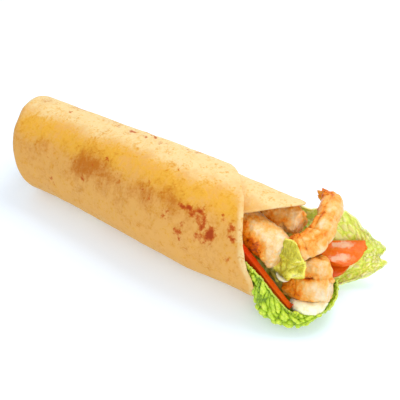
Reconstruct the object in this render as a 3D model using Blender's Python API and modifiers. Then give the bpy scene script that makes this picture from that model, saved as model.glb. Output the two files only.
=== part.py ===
"""Shrimp caesar wrap: a rolled wheat tortilla, tucked shut at its left end and open at its right.

Lettuce runs the length of the roll. At the open end it comes out as two cupped leaves, with
shrimps, tomato slices and caesar dressing standing between them.

Lengths are millimetres in the roll's own frame, and located() turns them into metres. X runs
along the roll to the open end, -Y is the front, Z is up and the table is at z = 0. An angle
round the roll is 0 degrees at the bottom, 90 at the front, 180 at the top and -90 at the back.
"""

import bpy
import bmesh
import math
from mathutils import Vector

# Where the wrap's own origin lies in the roll's frame: under the middle of its bounding box.
ORIGIN = Vector((-45.2, 3.6, 0.0))
MM = 0.001

# The roll.
ROLL_LEFT = -160.5
RADIUS_LEFT = 27.3
RADIUS_OPEN = 30.4
SWELL_START = -135.0
SWELL_END = -25.0
BEND = 6.8
BEND_START = -20.0
BEND_END = -130.0
FLAT_SINK = 1.7
GAP = 0.5

# The tortilla: a soft round sheet, wound one and a half times.
SHEET = 2.2
SHEET_RADIUS = 130.0
SHEET_MIDDLE_X = -104.6
SHEET_MIDDLE_ARC = 15.0
INNER_END_ANGLE = -290.0
TUCK_START_ANGLE = -19.0
TUCK_FULL_ANGLE = -62.0
ROOF_DROP = 1.2

# The tucked end: a slanting, slightly sunken disc with a rounded rim and a small middle hole.
END_SLANT = 7.0
END_SLANT_ANGLE = 220.5
END_DISH = 4.0
RIM_RADIUS = 5.5
HOLE_SHARE = 0.12

# How far the sheet reaches along X at each angle: its free edge round the open end.
OPEN_EDGE = (
    (-290, -45), (-250, -14), (-209, 6), (-188, 19), (-163, 28), (-154, 29), (-140, 24.5),
    (-100, 18), (-45, 18), (0, 17), (40, 19.5), (70, 23), (84, 22.4), (97, 19), (120, 14),
    (148, 8), (172, 0), (220, -20), (242, -33),
)

# Mesh density.
SHEET_COLUMNS = 44
BODY_ROWS = 12
CAP_ROWS = 3
RIM_ROWS = 3

# Colours: red, green, blue.
TORTILLA_COLOUR = (0.86, 0.56, 0.24)
GREEN_LEAF_COLOUR = (0.33, 0.47, 0.06)
PALE_LEAF_COLOUR = (0.66, 0.72, 0.22)
HEART_LEAF_COLOUR = (0.62, 0.60, 0.16)
SHRIMP_COLOUR = (0.86, 0.48, 0.20)
TOMATO_COLOUR = (0.72, 0.09, 0.02)
DRESSING_COLOUR = (0.92, 0.86, 0.62)


# ---------------------------------------------------------------- numbers and curves

def smooth_step(value):
    """Ease from 0 to 1 while value runs from 0 to 1."""
    value = min(1.0, max(0.0, value))
    return value * value * (3 - 2 * value)


def along(points, share):
    """Point at share (0 to 1) of a smooth curve through points of any length of tuple."""
    place = min(max(share, 0.0), 1.0) * (len(points) - 1)
    first = min(int(place), len(points) - 2)
    t = place - first
    before = points[max(first - 1, 0)]
    after = points[min(first + 2, len(points) - 1)]
    result = []
    for a, b, c, d in zip(before, points[first], points[first + 1], after):
        bend = t * (2 * a - 5 * b + 4 * c - d) + t * t * (3 * b - a - 3 * c + d)
        result.append(b + 0.5 * t * (c - a + bend))
    return result


def table_value(table, key):
    """Value at key of a table of (key, value) pairs, in straight runs between them."""
    if key <= table[0][0]:
        return table[0][1]
    for (low, start), (high, end) in zip(table, table[1:]):
        if key <= high:
            return start + (end - start) * (key - low) / (high - low)
    return table[-1][1]


# ---------------------------------------------------------------- the roll's section

def roll_radius(x):
    """Outer radius of the roll, which widens towards the open end."""
    swell = smooth_step((x - SWELL_START) / (SWELL_END - SWELL_START))
    return RADIUS_LEFT + (RADIUS_OPEN - RADIUS_LEFT) * swell


def axis_side(x):
    """Sideways place of the roll's axis, which bends back a little towards the shut end."""
    return BEND * smooth_step((x - BEND_START) / (BEND_END - BEND_START))


def axis_height(x):
    """Height of the roll's axis, a little less than its radius, so that it rests on a flat."""
    return roll_radius(x) - FLAT_SINK


def outer_reach(x, angle):
    """Distance from the axis to the outer face, cut off at the table."""
    down = math.cos(math.radians(angle))
    if down < 0.5:
        return roll_radius(x)
    return min(roll_radius(x), axis_height(x) / down)


def roll_point(x, angle, reach):
    """Point at a distance from the roll's axis, in the direction of an angle round it."""
    turn = math.radians(angle)
    y = axis_side(x) - reach * math.sin(turn)
    return Vector((x, y, axis_height(x) - reach * math.cos(turn)))


def located(point):
    """Point of the roll's frame in the wrap's own frame, in metres."""
    return (Vector(point[:3]) - ORIGIN) * MM


# ---------------------------------------------------------------- objects

def new_collection(name):
    """Empty collection linked to the scene."""
    collection = bpy.data.collections.new(name)
    bpy.context.scene.collection.children.link(collection)
    return collection


def new_material(name, colour, roughness):
    """Principled material of one colour."""
    material = bpy.data.materials.new(name)
    material.use_nodes = True
    shader = material.node_tree.nodes["Principled BSDF"]
    shader.inputs["Base Color"].default_value = (*colour, 1.0)
    shader.inputs["Roughness"].default_value = roughness
    shader.inputs["Metallic"].default_value = 0.0
    material.diffuse_color = (*colour, 1.0)
    return material


def add_object(name, form, material, collection):
    """Object of a finished bmesh, shaded smooth."""
    mesh = bpy.data.meshes.new(name)
    form.to_mesh(mesh)
    form.free()
    mesh.shade_smooth()
    mesh.materials.append(material)
    made = bpy.data.objects.new(name, mesh)
    collection.objects.link(made)
    return made


def add_thickness(made, thickness, offset):
    """Give an open surface its thickness."""
    solidify = made.modifiers.new("Thickness", "SOLIDIFY")
    solidify.thickness = thickness * MM
    solidify.offset = offset


def add_subdivision(made, levels):
    """Round a coarse cage."""
    smooth = made.modifiers.new("Rounding", "SUBSURF")
    smooth.levels = levels
    smooth.render_levels = levels


def mapped_grid(columns, rows, place):
    """Grid of columns by rows faces, each vertex put at place(column share, row share)."""
    form = bmesh.new()
    bmesh.ops.create_grid(form, x_segments=columns, y_segments=rows, size=1.0)
    for vertex in form.verts:
        across = (vertex.co.x + 1) / 2
        along_share = (vertex.co.y + 1) / 2
        vertex.co = located(place(across, along_share))
    return form


# ---------------------------------------------------------------- the tortilla

def layer_depth(x, angle):
    """How far the sheet lies inside the roll's outer face, as the next turn covers it."""
    tucked = smooth_step((TUCK_START_ANGLE - angle) / (TUCK_START_ANGLE - TUCK_FULL_ANGLE))
    roof = smooth_step((x + 30) / 40) * smooth_step((-angle - 80) / 60)
    return (SHEET + GAP) * tucked + ROOF_DROP * roof


def outer_edge_angle(x):
    """Angle at which the sheet's round outer edge ends, from the sheet's own circle."""
    reach = x - SHEET_MIDDLE_X
    arc = SHEET_MIDDLE_ARC + math.sqrt(SHEET_RADIUS ** 2 - reach ** 2)
    return math.degrees(arc / (RADIUS_OPEN - FLAT_SINK))


def end_plane(angle, share):
    """X of the slanting tucked end, at a share of the radius."""
    lean = math.cos(math.radians(angle - END_SLANT_ANGLE))
    return ROLL_LEFT + END_SLANT * (1 - share * lean)


def sheet_point(across, row_share):
    """Point of the tortilla's outer face.

    Rows run from the middle of the tucked end, over its rim, to the free edge at the open end.
    Columns run round the roll from the inner end of the sheet to the outer one.
    """
    rows = CAP_ROWS + RIM_ROWS + BODY_ROWS
    row = row_share * rows
    run = max(0.0, row - CAP_ROWS - RIM_ROWS) / BODY_ROWS
    nominal = ROLL_LEFT + run * (OPEN_EDGE[-1][1] - ROLL_LEFT)
    last = outer_edge_angle(nominal)
    angle = INNER_END_ANGLE + across * (last - INNER_END_ANGLE)
    rim_share = 1 - RIM_RADIUS / RADIUS_LEFT
    if row <= CAP_ROWS:
        share = HOLE_SHARE + (rim_share - HOLE_SHARE) * row / CAP_ROWS
        dish = END_DISH * (1 - (share / rim_share) ** 2)
        x = end_plane(angle, share) + dish
        turn = 0.0
    else:
        turn = math.radians(90) * min(1.0, (row - CAP_ROWS) / RIM_ROWS)
        share = rim_share + (1 - rim_share) * math.sin(turn)
        x = end_plane(angle, share) + RIM_RADIUS * (1 - math.cos(turn))
    if run > 0:
        x += run * (table_value(OPEN_EDGE, angle) - x)
    depth = layer_depth(x, angle)
    reach = outer_reach(x, angle) * share - depth * math.sin(turn)
    return roll_point(x + depth * math.cos(turn), angle, reach)


def build_tortilla(collection):
    """The rolled sheet."""
    form = mapped_grid(SHEET_COLUMNS, CAP_ROWS + RIM_ROWS + BODY_ROWS, sheet_point)
    bmesh.ops.reverse_faces(form, faces=form.faces)
    material = new_material("tortilla", TORTILLA_COLOUR, 0.75)
    made = add_object("tortilla", form, material, collection)
    add_thickness(made, SHEET, -1)


# ---------------------------------------------------------------- solid pieces

def swept_body(stations, side, sides, rings, blunt=0.12, ridges=0, ridge_height=0.0):
    """Round body along a spine, from a sphere whose rings are moved to stations of the spine.

    Each station is (x, y, z, half width, half height); the width lies along side. The ends
    close over a share of the length given by blunt, and ridges swell the body like a
    shrimp's segments.
    """
    form = bmesh.new()
    bmesh.ops.create_uvsphere(form, u_segments=sides, v_segments=rings, radius=1.0)
    for vertex in form.verts:
        share = math.acos(max(-1.0, min(1.0, vertex.co.z))) / math.pi
        turn = math.atan2(vertex.co.y, vertex.co.x)
        x, y, z, half_width, half_height = along(stations, share)
        ahead = Vector(along(stations, share + 0.02)[:3])
        behind = Vector(along(stations, share - 0.02)[:3])
        tangent = (ahead - behind).normalized()
        upward = tangent.cross(Vector(side)).normalized()
        outward = upward.cross(tangent).normalized()
        from_end = min(share, 1 - share) / blunt
        closing = math.sqrt(max(0.0, 1 - (1 - min(1.0, from_end)) ** 2))
        swell = closing * (1 + ridge_height * math.cos(2 * math.pi * ridges * share))
        offset = outward * (half_width * math.cos(turn)) + upward * (half_height * math.sin(turn))
        vertex.co = located(Vector((x, y, z)) + offset * swell)
    bmesh.ops.reverse_faces(form, faces=form.faces)
    return form


def build_core(collection):
    """Shredded lettuce that fills the roll and thins out under the shrimps."""
    stations = (
        (-137, 6.8, 25.3, 18.5, 18.5), (-106, 6, 26.0, 20.2, 20.2), (-74, 3.2, 27.1, 21.4, 21.4),
        (-46, 0.8, 28, 20.8, 20.8), (-22, 0, 27.6, 20, 20), (-8, 1, 20, 13, 13),
        (12, 1, 15.5, 9.5, 9.5), (31, -2, 8, 4.3, 4.3),
    )
    form = swept_body(stations, (0, 1, 0), 14, 16)
    material = new_material("lettuce", HEART_LEAF_COLOUR, 0.6)
    add_object("lettuce_core", form, material, collection)


def build_shrimps(collection):
    """Five grilled shrimps, of which the one at the back keeps its tail."""
    material = new_material("shrimp", SHRIMP_COLOUR, 0.45)
    toward_eye = (0.44, -0.66, 0.62)
    left = swept_body(
        ((-6, -5, 39.5, 8, 8), (4, -7, 40, 9.5, 9), (14, -10, 39.5, 9.5, 9), (23, -12.5, 38, 9, 9),
         (31.5, -15, 35.5, 8.5, 8.5)),
        (0.3, 0.6, 0.75), 12, 12, 0.14, 3, 0.03)
    add_object("shrimp_left", left, material, collection)
    behind = swept_body(
        ((3, 8, 39.5, 6, 6), (10, 8, 40.5, 6.6, 6.2), (17, 7.5, 41.5, 7, 6.4), (24, 7, 42, 7, 6.5),
         (30, 6, 42.5, 6, 6)),
        (0.2, 0.7, 0.6), 12, 12, 0.14, 3, 0.03)
    add_object("shrimp_behind", behind, material, collection)
    tail = swept_body(
        ((27.5, 31, 44.6, 4, 1.6), (32.1, 30.4, 45.3, 4.2, 2.2), (36.6, 27.2, 46.5, 5, 3.8),
         (39.1, 20.3, 45.8, 5.8, 5.4), (40.9, 13, 44.9, 6, 5.6), (41.7, 5.8, 43.2, 6.4, 6.5),
         (40.6, -1, 41.6, 6.4, 6.6), (38.2, -5, 40.6, 5.6, 5.8), (35.2, -6.4, 40.6, 3, 3)),
        toward_eye, 12, 18, 0.08, 5, 0.04)
    add_object("shrimp_tail", tail, material, collection)
    middle = swept_body(
        ((35.5, -7.5, 27, 3.6, 4.2), (41, -7.5, 28.6, 4, 5), (46.2, -5, 30.2, 4, 5.4),
         (50, -3, 29.6, 3.8, 4.2)),
        (0.3, 0.6, 0.75), 10, 10, 0.16)
    add_object("shrimp_middle", middle, material, collection)
    front = swept_body(
        ((32.5, -13, 14.5, 4.4, 4.2), (39.5, -12.6, 16.9, 6.1, 5.5), (47, -12.2, 19.9, 6.4, 6.8),
         (57.5, -8.5, 23.4, 6.4, 6.8)),
        (0.1, 0.6, 0.75), 12, 10, 0.12, 2, 0.03)
    add_object("shrimp_front", front, material, collection)


def slice_form(radius, thickness, chord):
    """Round slice of a tomato, cut straight at a distance chord from its middle."""
    form = bmesh.new()
    bmesh.ops.create_cone(
        form, cap_ends=True, cap_tris=False, segments=36, radius1=radius, radius2=radius,
        depth=thickness)
    cut = bmesh.ops.bisect_plane(
        form, geom=form.verts[:] + form.edges[:] + form.faces[:], plane_co=(0, chord, 0),
        plane_no=(0, 1, 0), clear_inner=True)
    rim = [item for item in cut["geom_cut"] if isinstance(item, bmesh.types.BMEdge)]
    bmesh.ops.contextual_create(form, geom=rim)
    bmesh.ops.recalc_face_normals(form, faces=form.faces)
    corners = [edge for edge in form.edges if edge.calc_face_angle(0) > math.radians(40)]
    bmesh.ops.bevel(
        form, geom=corners, offset=0.7, offset_type="OFFSET", segments=2, affect="EDGES", profile=0.5,
        material=-1)
    return form


def build_tomato(name, radius, thickness, chord, middle, rim_way, face_way, material, collection):
    """Half-moon slice: rim_way points from the middle to the rim, face_way out of the flat face."""
    form = slice_form(radius, thickness, chord)
    normal = Vector(face_way).normalized()
    across = Vector(rim_way).cross(normal).normalized()
    toward_rim = normal.cross(across)
    for vertex in form.verts:
        x, y, z = vertex.co
        vertex.co = located(Vector(middle) + across * x + toward_rim * y + normal * z)
    add_object(name, form, material, collection)


def build_tomatoes(collection):
    """Three slices: one along the front of the filling and two on the leaf at the back."""
    material = new_material("tomato", TOMATO_COLOUR, 0.25)
    build_tomato(
        "tomato_front", 42, 3.2, 35.5, (49.6, -21.4, 53), (-0.685, 0, -0.728), (0.02, -1, 0),
        material, collection)
    build_tomato(
        "tomato_back_upper", 13, 2.8, -1.2, (44.3, 27, 21.3), (0.52, -0.79, -0.38),
        (0.2, -0.32, 0.93), material, collection)
    build_tomato(
        "tomato_back_lower", 13, 2.8, 0.5, (40.3, 21.7, 15), (0.52, -0.79, -0.38),
        (0.2, -0.32, 0.93), material, collection)


def build_dressing(collection):
    """Thick dressing that has run out between the front shrimp and the leaf under it."""
    stations = (
        (39.5, -15.6, 9.3, 2.6, 2.2), (43.5, -16.9, 9.4, 3.4, 2.8), (47.5, -17.6, 10, 4, 2.8),
        (52, -14.8, 11.4, 4, 2.6), (55, -10, 13.6, 2.4, 2),
    )
    form = swept_body(stations, (0, 1, 0), 12, 10, 0.25)
    material = new_material("dressing", DRESSING_COLOUR, 0.3)
    add_object("dressing", form, material, collection)


# ---------------------------------------------------------------- leaves

def build_leaf(name, cage, thickness, material, collection):
    """Leaf: a coarse cage of rows of points, rounded and given its thickness."""
    columns = len(cage[0]) - 1
    rows = len(cage) - 1

    def place(across, row_share):
        return Vector(cage[round(row_share * rows)][round(across * columns)])

    form = mapped_grid(columns, rows, place)
    made = add_object(name, form, material, collection)
    add_subdivision(made, 1)
    add_thickness(made, thickness, 0)


def lining_row(x, angles, reach):
    """Row of a leaf's cage that lies against the inside of the roll."""
    return [roll_point(x, angle, reach) for angle in angles]


def build_leaves(collection):
    """The green leaf cupped under the front, the pale one at the back and a piece between."""
    green = new_material("green_leaf", GREEN_LEAF_COLOUR, 0.5)
    pale = new_material("pale_leaf", PALE_LEAF_COLOUR, 0.5)
    front_angles = (-20, 12, 45, 76, 104)
    mouth_angles = (-20, 12, 45, 74, 98)
    front = [
        lining_row(-34, front_angles, 24.2),
        lining_row(-12, front_angles, 24.6),
        lining_row(9, front_angles, 25.6),
        lining_row(21.8, mouth_angles, 25.1),
        [(30, 10, 2.4), (29, -9, 1.8), (29.4, -26.5, 4), (29.4, -33, 15), (28, -27, 29)],
        [(38, 10.5, 1.6), (38.5, -8, 1.6), (37, -25, 1.6), (36, -35, 6), (34.5, -27.5, 21)],
        [(47, 9.5, 2), (50, -6, 2), (52, -17, 2.6), (51.5, -28, 4), (43, -26.5, 13)],
        [(52, 8, 13), (57.5, 2, 14.5), (60, -11, 12.5), (56, -20, 11.5), (45, -23.5, 12.5)],
    ]
    build_leaf("lettuce_front", front, 1.2, green, collection)
    back_angles = (-36, -62, -88, -112, -131)
    back = [
        lining_row(-34, back_angles, 22.9),
        lining_row(-8, back_angles, 22.9),
        lining_row(15, back_angles, 22.9),
        lining_row(26, back_angles, 22.2),
        [(38, 13.5, 2.5), (39, 24, 8), (40, 30, 18), (39, 31.5, 30), (37.4, 32, 40)],
        [(49, 13, 3), (52, 24, 5), (53, 34, 11), (52, 37, 22), (48.2, 33, 37.6)],
        [(54.9, 19.5, 4.7), (61, 25, 6), (63, 35, 11), (60, 39.5, 18), (56.2, 36, 25.8)],
        [(60, 25.2, 5.9), (73.1, 36.9, 16.3), (60.2, 34.1, 12.8), (68.4, 39, 20.6), (58.2, 38.4, 21.6)],
    ]
    build_leaf("lettuce_back", back, 1.2, pale, collection)
    centre = [
        [(26, -11, 23), (35, -14, 21.5), (42, -14, 27)],
        [(27.5, -15.5, 27), (36.5, -19.5, 28.5), (43.5, -16.5, 32)],
        [(34, -13.5, 32), (37.5, -16.5, 35), (43, -15, 37)],
        [(36.5, -14, 37.5), (38, -16, 39.5), (40.5, -15.4, 39.5)],
    ]
    build_leaf("lettuce_centre", centre, 1.2, pale, collection)


def main():
    """Clear the scene and build the wrap."""
    for old in list(bpy.data.objects):
        bpy.data.objects.remove(old, do_unlink=True)
    wrap = new_collection("shrimp_caesar_wrap")
    build_tortilla(wrap)
    build_core(wrap)
    build_leaves(wrap)
    build_tomatoes(wrap)
    build_shrimps(wrap)
    build_dressing(wrap)


main()
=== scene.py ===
"""Looks of a shrimp caesar wrap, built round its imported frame.

Lengths are millimetres in the roll's own frame until a form becomes an object, in metres. X runs
along the roll to the open end, -Y is the front, Z is up and the table is at z = 0. An angle round
the roll is 0 degrees at the bottom, 90 at the front, 180 at the top and -90 at the back.
"""

import logging
import math
import random
from dataclasses import dataclass, field
from enum import Enum
from functools import lru_cache
from typing import Any, Callable, Iterable, Sequence

import bmesh
import bpy
from mathutils import Matrix, Vector, noise

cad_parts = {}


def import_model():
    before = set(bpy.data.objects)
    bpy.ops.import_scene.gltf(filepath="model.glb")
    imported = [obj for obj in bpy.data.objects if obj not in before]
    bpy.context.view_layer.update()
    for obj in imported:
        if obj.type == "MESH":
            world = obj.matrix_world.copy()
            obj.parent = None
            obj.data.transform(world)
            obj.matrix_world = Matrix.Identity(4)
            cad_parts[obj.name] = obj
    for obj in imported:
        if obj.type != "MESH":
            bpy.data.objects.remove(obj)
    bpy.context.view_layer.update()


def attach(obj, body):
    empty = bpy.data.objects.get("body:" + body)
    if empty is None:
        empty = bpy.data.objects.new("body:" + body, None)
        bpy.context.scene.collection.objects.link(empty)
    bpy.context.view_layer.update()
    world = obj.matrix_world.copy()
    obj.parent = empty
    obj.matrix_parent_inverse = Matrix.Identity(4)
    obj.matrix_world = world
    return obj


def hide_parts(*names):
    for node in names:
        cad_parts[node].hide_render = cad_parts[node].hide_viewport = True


LOG = logging.getLogger("shrimp_caesar_wrap")
BODY = "root"
ORIGIN = Vector((-45.2, 3.6, 0.0))
MM = 0.001
NOISE_SEED = 7

Row = Sequence[float]
Marks = dict[str, float]
Place = Callable[[float, float], tuple[Vector, Marks]]


class Slot(Enum):
    """The pieces' material slots."""

    TORTILLA = "tortilla"
    HEART = "lettuce_heart"
    GREEN_LEAF = "green_leaf"
    PALE_LEAF = "pale_leaf"
    TOMATO = "tomato"
    SHRIMP = "shrimp"
    DRESSING = "dressing"


# ---------------------------------------------------------------- numbers and curves


def clamp(value: float) -> float:
    """Value held between 0 and 1."""
    return min(1.0, max(0.0, value))


def smooth_step(value: float) -> float:
    """Ease from 0 to 1 while value runs from 0 to 1."""
    value = clamp(value)
    return value * value * (3 - 2 * value)


def ease(value: float, start: float, end: float) -> float:
    """Ease from 0 to 1 as value runs from start to end."""
    return smooth_step((value - start) / (end - start))


def hill(distance: float, radius: float) -> float:
    """Round hill that is 1 in its middle and near 0 from one and a half radii out."""
    return math.exp(-((distance / radius) ** 2) * 1.4)


def bent(before: float, low: float, high: float, after: float, t: float) -> float:
    """Value between low and high, on a curve that heeds the values beside them.

    Args:
        before: the value before low.
        low: the value at t = 0.
        high: the value at t = 1.
        after: the value after high.
        t: how far from low to high, from 0 to 1.

    Returns:
        The value there.
    """
    bend = t * (2 * before - 5 * low + 4 * high - after)
    bend += t * t * (3 * low - before - 3 * high + after)
    return low + 0.5 * t * (high - before + bend)


def along(points: Sequence[Row], share: float) -> list[float]:
    """Point at share (0 to 1) of a smooth curve through points of any length of tuple.

    Args:
        points: tuples of one length, in order.
        share: how far along the curve, from 0 to 1.

    Returns:
        The curve's values there.
    """
    place = clamp(share) * (len(points) - 1)
    first = min(int(place), len(points) - 2)
    before = points[max(first - 1, 0)]
    after = points[min(first + 2, len(points) - 1)]
    values = zip(before, points[first], points[first + 1], after)
    return [bent(*four, place - first) for four in values]


def eased_value(table: Sequence[tuple[float, float]], key: float) -> float:
    """Value at key of a table of (key, value) pairs, on a curve between them.

    Args:
        table: pairs in rising order of key.
        key: where to read it.

    Returns:
        The value there; the first or last one beyond the ends.
    """
    if key <= table[0][0]:
        return table[0][1]
    for index in range(len(table) - 1):
        low, high = table[index], table[index + 1]
        if key <= high[0]:
            before = table[max(index - 1, 0)][1]
            after = table[min(index + 2, len(table) - 1)][1]
            return bent(before, low[1], high[1], after, (key - low[0]) / (high[0] - low[0]))
    return table[-1][1]


def spline(points: Sequence[Vector], share: float) -> Vector:
    """Point of a rounded curve that starts and ends on its end points.

    Args:
        points: the curve's control points.
        share: how far along the curve, from 0 to 1.

    Returns:
        The point there.
    """
    place = clamp(share) * (len(points) - 1)
    first = min(int(place), len(points) - 2)
    t = place - first
    start, end = points[first], points[first + 1]
    before = points[first - 1] if first > 0 else 2 * start - end
    after = points[first + 2] if first + 2 < len(points) else 2 * end - start
    weights = (
        (1 - t) ** 3, 3 * t ** 3 - 6 * t ** 2 + 4, -3 * t ** 3 + 3 * t ** 2 + 3 * t + 1, t ** 3,
    )
    total = Vector((0.0, 0.0, 0.0))
    for weight, point in zip(weights, (before, start, end, after)):
        total += point * (weight / 6)
    return total


def grain(place: Vector, size: float, seed: float = 0.0) -> float:
    """Soft noise from -1 to 1 with lumps of about size."""
    return noise.noise(place / size + Vector((seed, seed * 0.7, -seed)))


def cells(place: Vector) -> float:
    """Distance from the nearest seam between cells of about one unit.

    Args:
        place: where to read it.

    Returns:
        The distance, 0 on the seam.
    """
    shift = noise.noise_vector(place * 0.8) * 0.5
    near, second = noise.voronoi(place + shift)[0][:2]
    return second - near


# ---------------------------------------------------------------- materials


class Wire:
    """A value on its way through a material, which takes part in sums."""

    def __init__(self, paint: "Paint", socket: bpy.types.NodeSocket) -> None:
        """Keep the material and the socket that the value leaves."""
        self.paint = paint
        self.socket = socket

    def __add__(self, other: "Wire | float") -> "Wire":
        """Sum."""
        return self.paint.maths("ADD", self, other)

    __radd__ = __add__

    def __sub__(self, other: "Wire | float") -> "Wire":
        """Difference."""
        return self.paint.maths("SUBTRACT", self, other)

    def __rsub__(self, other: "Wire | float") -> "Wire":
        """Difference, the other way round."""
        return self.paint.maths("SUBTRACT", other, self)

    def __mul__(self, other: "Wire | float") -> "Wire":
        """Product."""
        return self.paint.maths("MULTIPLY", self, other)

    def steps(self, low: float, high: float) -> "Wire":
        """Ease from 0 to 1 as the value runs from low to high."""
        return self.paint.node(
            "ShaderNodeMapRange", {"interpolation_type": "SMOOTHSTEP"},
            {"Value": self, "From Min": low, "From Max": high},
        )


def shade(red: int, green: int, blue: int) -> tuple[float, float, float, float]:
    """Screen colour as the linear colour that a shader takes.

    Args:
        red: its red, from 0 to 255.
        green: its green.
        blue: its blue.

    Returns:
        Red, green, blue and alpha, from 0 to 1.
    """
    linear = []
    for part in (red, green, blue):
        value = part / 255
        linear.append(value / 12.92 if value <= 0.04045 else ((value + 0.055) / 1.055) ** 2.4)
    return (linear[0], linear[1], linear[2], 1.0)


class Paint:
    """One Principled material, put together from expressions."""

    def __init__(self, name: str, constants: dict[str, Any]) -> None:
        """Start the material.

        Args:
            name: its name.
            constants: the shader's sockets and their values.
        """
        self.material = bpy.data.materials.new(name)
        self.material.use_nodes = True
        self.tree = self.material.node_tree
        self.shader = self.tree.nodes["Principled BSDF"]
        for socket, value in constants.items():
            self.shader.inputs[socket].default_value = value
        place = self.node("ShaderNodeTexCoord", output="Object")
        self.place = self.node(
            "ShaderNodeVectorMath", {"operation": "SCALE"}, {0: place, "Scale": 1 / MM})

    def node(
        self, kind: str, settings: dict[str, Any] | None = None,
        inputs: dict[str | int, Any] | None = None, output: str | int = 0,
    ) -> Wire:
        """Add a node.

        Args:
            kind: the node's type.
            settings: its own properties, set first.
            inputs: values or wires, by socket name or number.
            output: the socket to read.

        Returns:
            The wire that leaves that socket.
        """
        made = self.tree.nodes.new(kind)
        for name, value in (settings or {}).items():
            if name == "stops":
                self._set_stops(made.color_ramp, value)
            else:
                setattr(made, name, value)
        for name, value in (inputs or {}).items():
            self.feed(made.inputs[name], value)
        return Wire(self, made.outputs[output])

    @staticmethod
    def _set_stops(ramp: bpy.types.ColorRamp, stops: Sequence[tuple[float, Row]]) -> None:
        """Give a colour ramp its stops.

        Args:
            ramp: the ramp.
            stops: its (place, colour) pairs, in order.
        """
        while len(ramp.elements) < len(stops):
            ramp.elements.new(1.0)
        for element, (place, colour) in zip(ramp.elements, stops):
            element.position = place
            element.color = colour

    def feed(self, socket: bpy.types.NodeSocket, value: Any) -> None:
        """Link a wire to a socket, or set the socket's own value.

        Args:
            socket: the socket that takes it.
            value: a wire, or a value of the socket's kind.
        """
        if isinstance(value, Wire):
            self.tree.links.new(value.socket, socket)
        else:
            socket.default_value = value

    def maths(self, operation: str, first: Wire | float, second: Wire | float) -> Wire:
        """Math node on two values."""
        return self.node("ShaderNodeMath", {"operation": operation}, {0: first, 1: second})

    def mix(self, factor: Wire | float, first: Any, second: Any) -> Wire:
        """Mix two colours."""
        return self.node(
            "ShaderNodeMix", {"data_type": "RGBA", "clamp_factor": True},
            {0: factor, 6: first, 7: second}, 2)

    def mark(self, name: str) -> Wire:
        """A mark that the piece's vertices carry."""
        return self.node("ShaderNodeAttribute", {"attribute_name": name}, output="Fac")

    def clouds(
        self, size: float, detail: float = 3.0, rough: float = 0.55, stretch: Row | None = None,
    ) -> Wire:
        """Noise with strong contrast.

        Args:
            size: about how large its lumps are, in millimetres.
            detail: how many finer layers it has.
            rough: how strong those are.
            stretch: share of the distance that counts along each axis.

        Returns:
            The noise, from 0 to 1.
        """
        place = self.place
        if stretch is not None:
            place = self.node(
                "ShaderNodeVectorMath", {"operation": "MULTIPLY"}, {0: place, 1: stretch})
        noise_wire = self.node(
            "ShaderNodeTexNoise", None,
            {"Vector": place, "Scale": 1 / size, "Detail": detail, "Roughness": rough})
        return noise_wire.steps(0.3, 0.7)

    def ramp(self, value: Wire, stops: Sequence[tuple[float, Row]]) -> Wire:
        """Colour read off a ramp."""
        return self.node("ShaderNodeValToRGB", {"stops": stops}, {"Fac": value})

    def bump(self, height: Wire, depth: float, strength: float) -> None:
        """Raise the surface by height times depth millimetres, in its shading."""
        made = self.node(
            "ShaderNodeBump", None, {"Height": height, "Distance": depth * MM, "Strength": strength})
        self.feed(self.shader.inputs["Normal"], made)

    def colour(self, value: Any) -> None:
        """Set or link the base colour."""
        self.feed(self.shader.inputs["Base Color"], value)

    def roughness(self, value: Any) -> None:
        """Set or link the roughness."""
        self.feed(self.shader.inputs["Roughness"], value)


def soft(weight: float, depth: float, tint: Row) -> dict[str, Any]:
    """Constants of a material that light sinks into.

    Args:
        weight: how much of the light sinks in.
        depth: how deep, in millimetres.
        tint: how far each of red, green and blue goes, as a share of depth.

    Returns:
        The shader's sockets and their values.
    """
    return {
        "Subsurface Weight": weight, "Subsurface Scale": depth * MM,
        "Subsurface Radius": tuple(tint),
    }


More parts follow.
